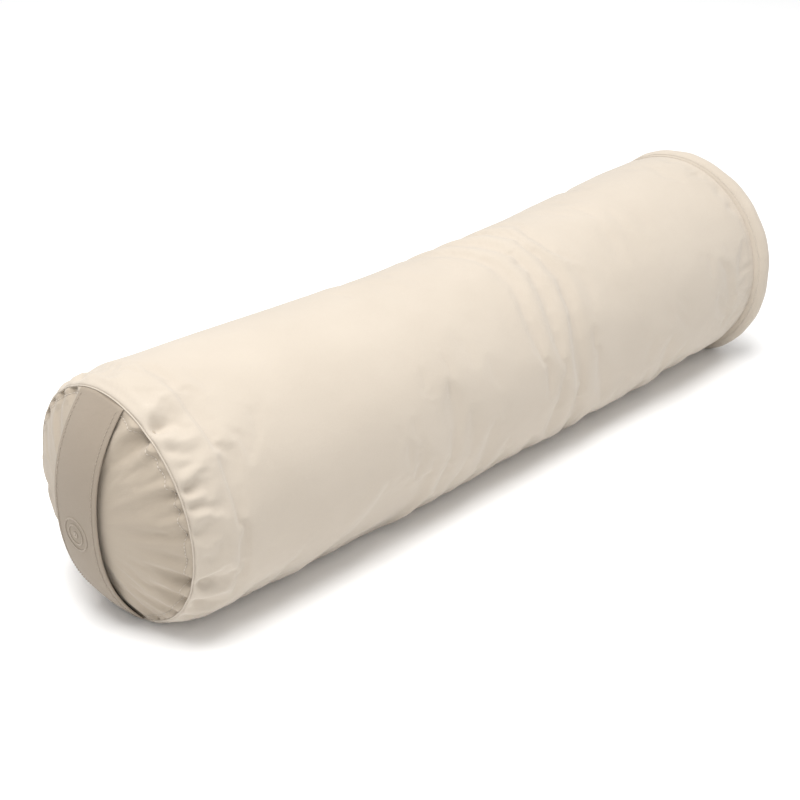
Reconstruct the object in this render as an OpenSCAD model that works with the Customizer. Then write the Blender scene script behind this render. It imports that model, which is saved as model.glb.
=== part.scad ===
// Cylindrical yoga bolster. A zipped cotton cover, with a carrying handle sewn across one end, holds a
// zipped liner bag full of husks. Lengths are in millimetres. +X runs along the bolster, away from the
// handle, +Y is the side with the zips, and +Z is up. The origin is on the floor under the middle.

/* [Bolster] */
// Outside diameter of the filled cover
body_d = 205; // [195:1:225]
// Length from one end seam to the other
seam_length = 700; // [640:5:780]
// How far inside the body's outside surface the end seams sit
seam_inset = 8; // [8:0.5:12]
// Length over which the tube rounds down to an end seam
shoulder = 36; // [24:1:50]
// How far the handle end's panel bulges past its seam
end_crown = 25; // [18:1:30]
// How far inside the body's outside surface the far end's seam sits
far_inset = 2; // [2:0.5:6]
// How far the far end's panel bulges past its seam
far_crown = 34; // [28:1:44]
// How much wider the far end's panel swells just past its seam
far_flare = 14; // [8:0.5:15]
// How far the weight of the fill flattens the underside
foot_drop = 7.5; // [4:0.5:8]

/* [Cloth] */
// Thickness of the cotton cover
cover_t = 1; // [0.8:0.1:1.2]
// Thickness of the liner's calico
liner_t = 0.6; // [0.4:0.1:0.8]
// Width of the cloth turned in at each end seam
allowance = 10; // [8:1:12]
// Space between the liner's outside and the cover's inside
liner_gap = 6; // [6:0.5:8]
// Thickness of sewing thread
thread_t = 0.5; // [0.4:0.1:0.7]
// Distance from an end seam to its row of topstitching
topstitch_in = 5; // [4:0.5:7]

/* [Handle] */
// Width of the strap
strap_w = 51; // [44:1:58]
// Thickness of the doubled strap
strap_t = 2; // [1.5:0.1:2.5]
// Slack that lets the middle of the strap stand off the end panel
strap_slack = 9; // [4:0.5:12]
// Distance from the strap's edge to its row of stitches
strap_stitch_in = 4; // [3:0.5:6]
// Diameter of the embroidered rings
motif_d = 30; // [20:1:34]
// How far the rings sit below the strap's middle
motif_drop = 10; // [0:1:20]

/* [Cover zip] */
// Length of the cover's row of teeth
cover_zip_length = 520; // [440:10:540]
// Angle of the cover's zip round the bolster, up from the zip side's horizontal
cover_zip_angle = -32; // [-36:1:-28]
// Height of the cover zip's teeth
cover_tooth_h = 2; // [1.8:0.1:2.2]

/* [Liner zip] */
// Length of the liner's row of teeth
liner_zip_length = 480; // [420:10:500]
// Angle of the liner's zip round the bolster, up from the zip side's horizontal
liner_zip_angle = -58; // [-60:1:-56]
// Height of the liner zip's teeth
liner_tooth_h = 1.6; // [1.4:0.1:1.8]

/* [Hidden] */

canvas = [0.90, 0.86, 0.79];
calico = [0.93, 0.91, 0.85];
thread = [0.87, 0.83, 0.75];
zip_tape = [0.88, 0.84, 0.77];
zip_plastic = [0.90, 0.87, 0.80];
zip_metal = [0.72, 0.71, 0.69];
husk = [0.76, 0.63, 0.42];

$fn = 96;
clear = 0.1;                              // gap left between layers that touch on the real bolster
body_r = body_d / 2;
seam_r = body_r - seam_inset;
axis_z = body_r - foot_drop;
seam_x = seam_length / 2;
crown_power = 2.5;                        // makes an end panel flat in the middle and steep at its rim
crown_steps = 14;
far_seam_r = body_r - far_inset;
far_fold_r = far_seam_r - cover_t - 2 * clear;
far_power = 6;                            // makes the far end full right out to its rim
far_fullness = 0.45;
flare_rise = 0.7;                         // below 1 makes the flare start steeply at the seam
far_stitch_rise = 5;                      // from the far seam to its topstitching, along the bolster
shoulder_steps = 8;
fold_r = seam_r - cover_t - 2 * clear;    // rim of an end panel, where its cloth folds back
fold_depth = 3 * cover_t + 2 * clear;     // from a seam in to the tube's own turned-in edge
overlock_w = 3;
long_seam_gap = 8;                        // from the zip's end to the seam that carries on from it

liner_r = body_r - cover_t - liner_gap;
liner_ease = 4;                           // how much less the liner is shaped than the cover
liner_short = 8;                          // how far the liner's seams sit inside the cover's
liner_seam_r = liner_r - seam_inset + liner_ease;
liner_far_seam_r = far_seam_r - allowance - 2 * thread_t - 6 * clear;  // passes the turned-in edges
liner_seam_x = seam_x - liner_short;
liner_crown = end_crown - liner_ease;
liner_far_crown = far_crown - liner_ease;
liner_floor = cover_t + 3 * clear;
fill_gap = 0.8;
fill_joint = 4;                           // extra depth that joins the fill's end to its tube
groove_depth = 6;                         // where the liner's zip presses into the fill
groove_side = 4;
big = 2 * seam_length;

strap_crown = end_crown + strap_slack;
strap_lift = 2 * clear;
motif_line = 2;
motif_inner = 0.6;                        // inner ring and dot, as shares of the outer ring
motif_dot = 0.2;

tape_t = 0.6;
tape_half_gap = 1.4;                      // the slider's post runs between the two tapes
tape_w = 14;
tape_overrun = 14;                        // tape past each end of the teeth
tooth_pitch = 2.5;
tooth_w = 1;
tooth_reach = 0.8;                        // how far a tooth crosses the zip's centre line
spine_w = 1.2;                            // the part of the teeth's row that is joined along its length
row_half_w = 3.2;
slot_half_w = 6.5;
slot_overrun = 4;                         // slot past each end of the zip
stitch_out = 3;                           // from the slot's edge to the zip's row of stitches
stitch_overrun = 6;

slider_length = 11;
slider_half_w = 4.9;
slider_wall = 0.8;
plate_t = 1.1;
post_half_w = 0.9;
post_length = 2;
post_inset = 0.4;
slider_gap = 0.5;                         // between the slider and the top stops
stop_length = 2;
stop_half_w = 2.2;
stop_under = 0.5;                         // how thick a stop is under its tape
bottom_stop_length = 5;
bridge_w = 2.2;
bridge_bar_t = 0.8;
bridge_half = 3.6;
pull_bar_r = 0.6;
pull_arm_w = 1.2;
pull_half_w = 3.2;
pull_t = 1.2;
pull_eye = 7;                             // from the pull's hinge to the solid part of its tab
pull_overlap = 1;                         // how far the arms run into the tab
pull_hole_d = 3;
pull_hole_in = 4;
cover_tab = 22;
liner_tab = 16;

// Radii that stack one zip's layers outward from its tape, for a tape whose outside is at radius r.
function teeth_z(r) = r + 2 * clear;
function top_plate_z(r, h) = teeth_z(r) + h + 2 * clear;
function bottom_plate_z(r) = r - tape_t - plate_t - 3 * clear;
function hinge_z(r, h) = top_plate_z(r, h) + plate_t + pull_bar_r + clear;

cover_tape_r = body_r - cover_t - 2 * clear;
liner_tape_r = liner_r - liner_t - 2 * clear;

// ---- shared shapes -------------------------------------------------------------------------------

// Outward bulge of a crowned end at radius r from the axis.
function bulge(r, rim_r, crown) = crown * (1 - pow(r / rim_r, crown_power));

// Turns [radius, x] points about the bolster's axis.
module revolve(points) {
    translate([0, 0, axis_z]) rotate([0, 90, 0]) rotate_extrude() polygon(points);
}

// Puts children, drawn with z as the radius, at an angle round the bolster.
module on_skin(angle) {
    translate([0, 0, axis_z]) rotate([angle - 90, 0, 0]) children();
}

// Everything above a height.
module above(z) {
    translate([-big, -big, z]) cube([2 * big, 2 * big, big]);
}

// Points from a rim up to radius r, for a tube that ends half_length from its middle.
function shoulder_edge(r, rim_r, half_length) = [for (i = [0:shoulder_steps])
    let (a = 90 * i / shoulder_steps)
    [rim_r + (r - rim_r) * sin(a), half_length - shoulder * (1 - cos(a))]];

// Solid body of revolution with rounded shoulders, its rims at handle_r and far_r.
module bag_solid(r, handle_r, far_r, half_length) {
    handle_edge = [for (p = shoulder_edge(r, handle_r, half_length)) [p[0], -p[1]]];
    far_edge = shoulder_edge(r, far_r, half_length);
    far_edge_down = [for (i = [shoulder_steps:-1:0]) far_edge[i]];
    revolve(concat([[0, -half_length]], handle_edge, far_edge_down, [[0, half_length]]));
}

// Radius of a full end's profile at a share u of its height, for a rim and an outward flare.
function dome_r(u, rim_r, flare) = flare * sin(180 * pow(u, flare_rise))
    + rim_r * pow(max(0, 1 - pow(u, 1 / far_fullness)), 1 / far_power);

// That profile, from its rim to the axis.
function dome_points(rim_r, crown, x, flare) = [for (i = [0:2 * crown_steps])
    let (u = sin(45 * i / crown_steps)) [dome_r(u, rim_r, flare), x + crown * u]];

// The same profile moved inward by a cloth's thickness, at right angles to the cloth.
function moved_in(points, t) = [for (i = [0:len(points) - 1])
    let (step = points[min(len(points) - 1, i + 1)] - points[max(0, i - 1)],
        p = points[i] + t * [-step[1], step[0]] / norm(step))
    [max(0, p[0]), p[1]]];

// Full end at the far end, solid back to its flat base.
module dome(rim_r, crown, x, flare = 0) {
    revolve(concat([[0, x]], dome_points(rim_r, crown, x, flare)));
}

// Full end as a layer of cloth, with a flat foot at height floor_z.
module dome_shell(rim_r, crown, x, t, floor_z, flare = 0) {
    inside = moved_in(dome_points(rim_r, crown, x, flare), t);
    difference() {
        intersection() {
            dome(rim_r, crown, x, flare);
            above(floor_z);
        }
        intersection() {
            revolve(concat([[0, x - clear], [rim_r - t, x - clear]], inside));
            above(floor_z + t);
        }
    }
}

// Flat ring of cloth at the far end.
module flat_ring(r0, r1, x, t) {
    revolve([[r0, x], [r1, x], [r1, x + t], [r0, x + t]]);
}

// Open tube of cloth, flattened on the underside at height floor_z.
module bag_tube(r, handle_r, far_r, half_length, t, floor_z) {
    difference() {
        intersection() {
            bag_solid(r, handle_r, far_r, half_length);
            above(floor_z);
        }
        intersection() {
            bag_solid(r - t, handle_r - t, far_r - t, half_length + clear);
            above(floor_z + t);
        }
    }
}

// Layer of cloth over the handle end, from radius r0 to r1, with its outer face at a crown and a lift.
module end_layer(r0, r1, rim_r, x, crown, lift, t) {
    steps = [for (i = [0:crown_steps]) r0 + (r1 - r0) * i / crown_steps];
    outside = [for (r = steps) [r, -x - lift - t - bulge(r, rim_r, crown)]];
    inside = [for (i = [crown_steps:-1:0]) [steps[i], -x - lift - bulge(steps[i], rim_r, crown)]];
    revolve(concat(outside, inside));
}

// Ring of thread round the bolster's axis, at radius r, left open by an angle each side of the bottom.
module thread_ring(r, x, open_angle = 0) {
    translate([0, 0, axis_z]) rotate([0, 90, 0]) rotate([0, 0, open_angle])
        rotate_extrude(angle = 360 - 2 * open_angle)
            translate([r, x]) circle(d = thread_t, $fn = 24);
}

// ---- cover ---------------------------------------------------------------------------------------

// Cloth turned in from the tube's end, lying inside the end panel's own turned-in cloth.
module turned_in_edge() {
    end_layer(seam_r - allowance, seam_r, seam_r, seam_x, end_crown, -fold_depth, cover_t);
    end_layer(seam_r - cover_t, seam_r, seam_r, seam_x, end_crown, -fold_depth,
        fold_depth - cover_t - clear);
}

module far_turned_in_edge() {
    edge_x = seam_x - fold_depth;
    intersection() {
        union() {
            flat_ring(far_seam_r - allowance, far_seam_r, edge_x, cover_t);
            flat_ring(far_seam_r - cover_t, far_seam_r, edge_x, fold_depth - cover_t - clear);
        }
        above(0);
    }
}

module cover_body() color(canvas) {
    difference() {
        bag_tube(body_r, seam_r, far_seam_r, seam_x - cover_t - clear, cover_t, 0);
        on_skin(cover_zip_angle)
            translate([-cover_zip_length / 2 - slot_overrun, -slot_half_w, body_r - 3 * cover_t])
                cube([cover_zip_length + 2 * slot_overrun, 2 * slot_half_w, 6 * cover_t]);
    }
    turned_in_edge();
    far_turned_in_edge();
}

// Crowned panel whose rim folds back inside to make the seam allowance.
module cover_handle_end() color(canvas) {
    end_layer(0, fold_r, seam_r, seam_x, end_crown, -cover_t, cover_t);
    end_layer(seam_r - allowance, fold_r, seam_r, seam_x, end_crown, -2 * cover_t - clear, cover_t);
    end_layer(fold_r - cover_t / 2, fold_r, seam_r, seam_x, end_crown, -2 * cover_t - clear,
        2 * cover_t + clear);
}

// Full panel whose rim folds back inside in the same way. Its fold stops just above the tube's floor.
module cover_far_end() color(canvas) {
    fold_x = seam_x - 2 * cover_t - clear;
    dome_shell(far_fold_r, far_crown, seam_x - cover_t, cover_t, 0, far_flare);
    intersection() {
        union() {
            flat_ring(far_seam_r - allowance, far_fold_r, fold_x, cover_t);
            flat_ring(far_fold_r - cover_t, far_fold_r, fold_x, 2 * cover_t);
        }
        above(cover_t + clear);
    }
}

module handle_end_topstitch() color(thread) {
    r = seam_r - topstitch_in;
    thread_ring(r, -seam_x - bulge(r, seam_r, end_crown) - thread_t / 2 - 2 * clear);
}

// Row of stitches up the full panel's steep side, open along the foot it rests on.
module far_end_topstitch() color(thread) {
    r = dome_r(far_stitch_rise / far_crown, far_fold_r, far_flare) + thread_t / 2 + 3 * clear;
    thread_ring(r, seam_x - cover_t + far_stitch_rise, acos((axis_z - cover_t - clear - thread_t) / r));
}

// Thread wrapped round the raw edges of both turned-in layers.
module handle_end_overlock() color(thread) {
    r = seam_r - allowance;
    inner = -3 * cover_t - 3 * clear - thread_t;
    end_layer(r - clear - thread_t, r - clear, seam_r, seam_x, end_crown, inner,
        2 * cover_t + 2 * clear + thread_t);
    end_layer(r - clear - thread_t, r + overlock_w, seam_r, seam_x, end_crown, inner, thread_t);
}

module far_end_overlock() color(thread) {
    r = far_seam_r - allowance;
    inner = seam_x - 3 * cover_t - 3 * clear - thread_t;
    flat_ring(r - clear - thread_t, r - clear, inner, 2 * cover_t + 2 * clear + thread_t);
    flat_ring(r - clear - thread_t, r + overlock_w, inner, thread_t);
}

// Stitching that closes the tube between each end of the zip and the shoulder.
module cover_long_seam_thread() color(thread) {
    start = cover_zip_length / 2 + long_seam_gap;
    for (side = [-1, 1])
        on_skin(cover_zip_angle)
            translate([side > 0 ? start : shoulder + cover_t - seam_x, -thread_t / 2, body_r + clear])
                cube([seam_x - shoulder - cover_t - start, thread_t, thread_t]);
}

// ---- handle --------------------------------------------------------------------------------------

// Layer of the strap between two distances across its width. Its ends follow the round seam.
module strap_layer(lift, t, y0, y1) {
    intersection() {
        end_layer(0, fold_r, seam_r, seam_x, strap_crown, lift, t);
        translate([-big, y0, axis_z - body_r]) cube([big, y1 - y0, 2 * body_r]);
    }
}

module handle_strap() color(canvas) strap_layer(strap_lift, strap_t, -strap_w / 2, strap_w / 2);

module handle_edge_stitches() color(thread) {
    for (side = [-1, 1]) {
        y = side * (strap_w / 2 - strap_stitch_in);
        strap_layer(strap_lift + strap_t + clear, thread_t, y - thread_t / 2, y + thread_t / 2);
    }
}

// Thread inside the cover that holds the strap's two ends in the seam allowance.
module handle_anchor_stitches() color(thread) {
    for (side = [-1, 1]) intersection() {
        end_layer(seam_r - topstitch_in - thread_t, seam_r - topstitch_in, seam_r, seam_x, end_crown,
            -fold_depth - clear - thread_t, thread_t);
        translate([-big / 2, -strap_w / 2, side > 0 ? axis_z : axis_z - body_r])
            cube([big, strap_w, body_r]);
    }
}

// Plain embroidered rings round a dot.
module handle_motif() color(thread) {
    intersection() {
        strap_layer(strap_lift + strap_t + clear, thread_t, -motif_d / 2, motif_d / 2);
        translate([0, 0, axis_z - motif_drop]) rotate([0, -90, 0]) linear_extrude(big) {
            for (d = [motif_d - motif_line, motif_d * motif_inner])
                difference() {
                    circle(d = d);
                    circle(d = d - 2 * motif_line);
                }
            circle(d = motif_d * motif_dot);
        }
    }
}

// ---- zips ----------------------------------------------------------------------------------------

// One tape, on the +Y side of the zip's centre line, its outside at radius r. Grow inflates it.
module tape(r, length, grow = 0) {
    intersection() {
        rotate([0, 90, 0]) difference() {
            cylinder(r = r + grow, h = length, center = true);
            cylinder(r = r - tape_t - grow, h = length + 1, center = true);
        }
        translate([-length / 2, tape_half_gap - grow, r / 2])
            cube([length, tape_w + 2 * grow, r]);
    }
}

// One row of teeth, joined by a spine along its outer edge, on the +Y side of the centre line.
module tooth_row(length, h, shift) {
    count = floor(length / tooth_pitch) - 1;
    start = -length / 2 + shift;
    teeth = [for (i = [0:count - 1]) let (x = start + i * tooth_pitch)
        each [[x, row_half_w - spine_w], [x, -tooth_reach],
            [x + tooth_w, -tooth_reach], [x + tooth_w, row_half_w - spine_w]]];
    linear_extrude(h) polygon(concat([[start, row_half_w]], teeth,
        [[start + (count - 1) * tooth_pitch + tooth_w, row_half_w]]));
}

module zip_side(side) {
    if (side > 0) children(); else mirror([0, 1, 0]) children();
}

module zip_teeth(r, length, h, angle, side) {
    on_skin(angle) zip_side(side) translate([0, 0, teeth_z(r)])
        tooth_row(length - 2 * slider_length, h, side > 0 ? 0 : tooth_pitch / 2);
}

module zip_tape(r, length, angle, side) {
    on_skin(angle) zip_side(side) tape(r, length + 2 * tape_overrun);
}

// Clip round the tape's inner edge, cut to length and width.
module tape_clip(r, length, half_w, h) {
    difference() {
        translate([0, tape_half_gap - 3 * clear, r - tape_t - stop_under])
            cube([length, half_w, h + tape_t + stop_under]);
        tape(r, 2 * big, clear);
    }
}

module zip_top_stops(r, length, h, angle) {
    on_skin(angle) for (side = [-1, 1]) zip_side(side)
        translate([length / 2 - stop_length, 0, 0]) tape_clip(r, stop_length, stop_half_w, h);
}

module zip_bottom_stop(r, length, h, angle) {
    on_skin(angle) translate([-length / 2, 0, 0]) difference() {
        translate([0, -row_half_w, r - tape_t - stop_under])
            cube([bottom_stop_length, 2 * row_half_w, h + tape_t + stop_under]);
        for (side = [-1, 1]) zip_side(side) tape(r, 2 * big, clear);
    }
}

// Straight rows of stitches on both sides of a slot in cloth of outside radius r.
module zip_stitches(r, length, angle) {
    y = slot_half_w + stitch_out;
    on_skin(angle) for (side = [-1, 1]) zip_side(side)
        translate([-length / 2 - stitch_overrun, y, sqrt(r * r - y * y) + clear])
            cube([length + 2 * stitch_overrun, thread_t, thread_t]);
}

// Slider at the closed end of the zip: two plates joined by a post, side walls and a bridge.
module zip_slider(r, length, h, angle) {
    x0 = length / 2 - stop_length - slider_gap - slider_length;
    top = top_plate_z(r, h);
    bottom = bottom_plate_z(r);
    on_skin(angle) translate([x0, 0, 0]) {
        for (z = [bottom, top]) translate([0, -slider_half_w, z])
            cube([slider_length, 2 * slider_half_w, plate_t]);
        for (side = [-1, 1]) zip_side(side)
            translate([0, slider_half_w - slider_wall, r + 4 * clear])
                cube([slider_length, slider_wall, top - r - 4 * clear + plate_t / 2]);
        translate([slider_length - post_length - post_inset, -post_half_w, bottom])
            cube([post_length, 2 * post_half_w, top - bottom + plate_t / 2]);
        bridge(top + plate_t);
    }
}

// Arch on top of the slider that holds the pull's bar.
module bridge(z) {
    opening = 2 * pull_bar_r + 2 * clear;
    translate([slider_length / 2 - bridge_half, -bridge_w / 2, z - plate_t / 2]) difference() {
        cube([2 * bridge_half, bridge_w, plate_t / 2 + opening + bridge_bar_t]);
        translate([bridge_bar_t, -1, plate_t / 2])
            cube([2 * (bridge_half - bridge_bar_t), bridge_w + 2, opening]);
    }
}

// Pull tab, lying back along the closed teeth. Its bar turns under the slider's bridge.
module zip_pull(r, length, h, angle, tab) {
    x0 = length / 2 - stop_length - slider_gap - slider_length / 2;
    arm_y = bridge_w / 2 + 3 * clear;
    on_skin(angle) translate([x0, 0, hinge_z(r, h)]) {
        rotate([90, 0, 0])
            cylinder(r = pull_bar_r, h = 2 * (arm_y + pull_arm_w), center = true, $fn = 32);
        for (side = [-1, 1]) zip_side(side) translate([-pull_eye - pull_overlap, arm_y, -pull_bar_r])
            cube([pull_eye + pull_overlap, pull_arm_w, 2 * pull_bar_r]);
        translate([-pull_eye - tab, -pull_half_w, -pull_bar_r]) difference() {
            cube([tab, 2 * pull_half_w, pull_t]);
            translate([pull_hole_in, pull_half_w, -1]) cylinder(d = pull_hole_d, h = pull_t + 2, $fn = 32);
        }
    }
}

module cover_zip_upper_tape() color(zip_tape) zip_tape(cover_tape_r, cover_zip_length, cover_zip_angle, -1);
module cover_zip_lower_tape() color(zip_tape) zip_tape(cover_tape_r, cover_zip_length, cover_zip_angle, 1);

module cover_zip_upper_teeth() color(zip_plastic)
    zip_teeth(cover_tape_r, cover_zip_length, cover_tooth_h, cover_zip_angle, -1);
module cover_zip_lower_teeth() color(zip_plastic)
    zip_teeth(cover_tape_r, cover_zip_length, cover_tooth_h, cover_zip_angle, 1);

module cover_zip_top_stops() color(zip_metal)
    zip_top_stops(cover_tape_r, cover_zip_length, cover_tooth_h, cover_zip_angle);
module cover_zip_bottom_stop() color(zip_metal)
    zip_bottom_stop(cover_tape_r, cover_zip_length, cover_tooth_h, cover_zip_angle);

module cover_zip_stitches() color(thread) zip_stitches(body_r, cover_zip_length, cover_zip_angle);

module cover_zip_slider() color(zip_metal)
    zip_slider(cover_tape_r, cover_zip_length, cover_tooth_h, cover_zip_angle);
module cover_zip_pull() color(zip_metal)
    zip_pull(cover_tape_r, cover_zip_length, cover_tooth_h, cover_zip_angle, cover_tab);

// ---- liner and fill ------------------------------------------------------------------------------

module liner_body() color(calico) {
    difference() {
        bag_tube(liner_r, liner_seam_r, liner_far_seam_r, liner_seam_x - liner_t - clear, liner_t,
            liner_floor);
        on_skin(liner_zip_angle)
            translate([-liner_zip_length / 2 - slot_overrun, -slot_half_w, liner_r - 3 * liner_t])
                cube([liner_zip_length + 2 * slot_overrun, 2 * slot_half_w, 6 * liner_t]);
    }
}

module liner_handle_end() color(calico)
    end_layer(0, liner_seam_r, liner_seam_r, liner_seam_x, liner_crown, -liner_t, liner_t);
module liner_far_end() color(calico)
    dome_shell(liner_far_seam_r, liner_far_crown, liner_seam_x - liner_t, liner_t, liner_floor);

module liner_handle_end_thread() color(thread) {
    r = liner_seam_r - topstitch_in;
    thread_ring(r, -liner_seam_x - bulge(r, liner_seam_r, liner_crown) - thread_t / 2 - 2 * clear);
}

module liner_far_end_thread() color(thread) {
    r = dome_r(far_stitch_rise / liner_far_crown, liner_far_seam_r, 0);
    thread_ring(r + thread_t / 2 + 2 * clear, liner_seam_x - liner_t + far_stitch_rise);
}

module liner_zip_upper_tape() color(zip_tape) zip_tape(liner_tape_r, liner_zip_length, liner_zip_angle, -1);
module liner_zip_lower_tape() color(zip_tape) zip_tape(liner_tape_r, liner_zip_length, liner_zip_angle, 1);

module liner_zip_upper_teeth() color(zip_plastic)
    zip_teeth(liner_tape_r, liner_zip_length, liner_tooth_h, liner_zip_angle, -1);
module liner_zip_lower_teeth() color(zip_plastic)
    zip_teeth(liner_tape_r, liner_zip_length, liner_tooth_h, liner_zip_angle, 1);

module liner_zip_top_stops() color(zip_metal)
    zip_top_stops(liner_tape_r, liner_zip_length, liner_tooth_h, liner_zip_angle);
module liner_zip_bottom_stop() color(zip_metal)
    zip_bottom_stop(liner_tape_r, liner_zip_length, liner_tooth_h, liner_zip_angle);

module liner_zip_stitches() color(thread) zip_stitches(liner_r, liner_zip_length, liner_zip_angle);

module liner_zip_slider() color(zip_metal)
    zip_slider(liner_tape_r, liner_zip_length, liner_tooth_h, liner_zip_angle);
module liner_zip_pull() color(zip_metal)
    zip_pull(liner_tape_r, liner_zip_length, liner_tooth_h, liner_zip_angle, liner_tab);

// The loose husks, as one solid that gives way under the liner's zip.
module husk_fill() color(husk) {
    fill_r = liner_r - liner_t - fill_gap;
    fill_rim = liner_seam_r - liner_t - fill_gap;
    fill_far_rim = liner_far_seam_r - liner_t - fill_gap;
    fill_dome = liner_crown + fill_joint;
    difference() {
        intersection() {
            union() {
                bag_solid(fill_r, fill_rim, fill_far_rim, liner_seam_x - liner_t - fill_gap);
                end_layer(0, fill_rim, fill_rim, liner_seam_x, liner_crown,
                    -liner_t - fill_gap - fill_dome, fill_dome);
                dome(fill_far_rim, liner_far_crown - liner_t - fill_gap,
                    liner_seam_x - liner_t - 2 * fill_gap);
            }
            above(liner_floor + liner_t + fill_gap / 4);
        }
        on_skin(liner_zip_angle)
            translate([-liner_zip_length / 2 - 2 * tape_overrun, -tape_w - groove_side,
                    fill_r - groove_depth])
                cube([liner_zip_length + 4 * tape_overrun, 2 * (tape_w + groove_side), body_r]);
    }
}

cover_body();
cover_handle_end();
cover_far_end();
handle_end_topstitch();
far_end_topstitch();
handle_end_overlock();
far_end_overlock();
cover_long_seam_thread();
handle_strap();
handle_edge_stitches();
handle_anchor_stitches();
handle_motif();
cover_zip_upper_tape();
cover_zip_lower_tape();
cover_zip_upper_teeth();
cover_zip_lower_teeth();
cover_zip_top_stops();
cover_zip_bottom_stop();
cover_zip_stitches();
cover_zip_slider();
cover_zip_pull();
liner_body();
liner_handle_end();
liner_far_end();
liner_handle_end_thread();
liner_far_end_thread();
liner_zip_upper_tape();
liner_zip_lower_tape();
liner_zip_upper_teeth();
liner_zip_lower_teeth();
liner_zip_top_stops();
liner_zip_bottom_stop();
liner_zip_stitches();
liner_zip_slider();
liner_zip_pull();
husk_fill();
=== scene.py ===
"""Looks of a yoga bolster: cotton twill cover, strap handle, zips, liner and husks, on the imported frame.

Angles round the bolster: 0 is +Y, 90 is up, 180 is -Y. Lengths are in metres.
"""

import math

import bmesh
import bpy
import numpy as np
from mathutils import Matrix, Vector


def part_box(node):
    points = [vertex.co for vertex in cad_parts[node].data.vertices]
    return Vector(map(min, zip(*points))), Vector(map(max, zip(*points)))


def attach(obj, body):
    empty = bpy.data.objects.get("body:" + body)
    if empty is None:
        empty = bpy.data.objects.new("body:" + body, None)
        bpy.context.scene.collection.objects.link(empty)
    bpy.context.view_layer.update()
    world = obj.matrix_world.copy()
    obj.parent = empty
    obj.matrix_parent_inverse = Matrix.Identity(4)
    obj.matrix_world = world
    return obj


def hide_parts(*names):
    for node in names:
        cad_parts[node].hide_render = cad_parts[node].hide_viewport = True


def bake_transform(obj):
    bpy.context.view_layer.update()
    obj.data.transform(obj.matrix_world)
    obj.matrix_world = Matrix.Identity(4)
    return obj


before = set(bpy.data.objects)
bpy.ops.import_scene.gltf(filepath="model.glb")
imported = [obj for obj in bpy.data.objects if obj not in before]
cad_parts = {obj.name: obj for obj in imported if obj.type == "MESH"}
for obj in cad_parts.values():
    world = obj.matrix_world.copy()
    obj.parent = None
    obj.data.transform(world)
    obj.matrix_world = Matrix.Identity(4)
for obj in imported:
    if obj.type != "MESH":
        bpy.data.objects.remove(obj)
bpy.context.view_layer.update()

MM = 0.001
RNG = np.random.default_rng(7)

# ---- sizes taken from the frame ------------------------------------------------------------------

BODY_R = (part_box("cover_body")[1].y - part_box("cover_body")[0].y) / 2
AXIS_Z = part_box("cover_body")[1].z - BODY_R
COVER_T = 1.0 * MM
RIM_GAP = 1.2 * MM                  # from a panel's rim to its seam
SEAM_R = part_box("cover_handle_end")[1].y + RIM_GAP
FAR_SEAM_R = BODY_R - 0.8 * MM
FAR_FOLD_R = FAR_SEAM_R - RIM_GAP
SEAM_X = 0.350
CROWN = -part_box("cover_handle_end")[0].x - SEAM_X
FAR_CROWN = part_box("cover_far_end")[1].x - SEAM_X + COVER_T
CROWN_POWER = 2.5
FULLER_MIDDLE = 5.5 * MM            # the fill pushes the handle end's middle out under the strap
FAR_POWER = 6.0                     # the far panel is full right out to its rim
FAR_FULLNESS = 0.45
FAR_SWELL_LEAST = 3.1 * MM          # the far panel swells outward just past its seam
FAR_SWELL_LEAN = 10.5 * MM          # and swells this much more on the side it leans to
FAR_LEAN_ANGLE = 187.0
FLARE_RISE = 0.7
FAR_STITCH_RISE = 2.2 * MM
SHOULDER = 36 * MM
STRAP_LOW, STRAP_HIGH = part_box("handle_strap")
STRAP_HALF_W = (STRAP_HIGH.y - STRAP_LOW.y) / 2
STRAP_CROWN = -STRAP_LOW.x - SEAM_X - 2.2 * MM
STRAP_T = 2.0 * MM
ZIP_ANGLE = -32.0
ZIP_HALF_LENGTH = 0.264             # half of the slot in the cover
ZIP_ROW_TURN = 5.4                  # from the zip to its stitches, in degrees
LONG_SEAM = (0.268, 0.313)          # where the seam beyond the zip starts and ends
SLOT_STEPS = 2                      # grid steps from the zip's centre line to the slot's edge
FLOOR_GAP = 0.2 * MM
SLUMP = 11.0 * MM
TOPSTITCH_IN = 5 * MM
ONSET = 0.25                        # share of a fold's length over which it starts
FOLD_END = 88 * MM                  # folds in a panel fade out inside this distance of its middle
ROLL_HEIGHT = 0.45                  # cloth rolled up beside a fold, as a share of its depth
ROLL_PLACE = 1.9                    # where the roll stands, in widths of the fold
ROLL_SHARPNESS = 1.4
PANEL_DEPTH = 1.1                   # a fold's depth in the panel, as a share of its depth in the tube
STITCH_PITCH = 2.8 * MM
STITCH_LENGTH = 2.1 * MM
THREAD_R = 0.38 * MM


# ---- small maths ---------------------------------------------------------------------------------

def turn_between(a, b):
    """Smallest turn from b to a, in degrees."""
    return (a - b + 180) % 360 - 180


def smooth(t):
    t = np.clip(t, 0, 1)
    return t * t * (3 - 2 * t)


def ring_point(x, radius, angle):
    """Points at a radius and an angle round the bolster's axis, kept off the floor."""
    a = np.radians(angle)
    z = AXIS_Z + radius * np.sin(a)
    return np.stack([x + 0 * a, radius * np.cos(a), np.maximum(z, FLOOR_GAP)], axis=-1)


# ---- creases -------------------------------------------------------------------------------------

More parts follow.
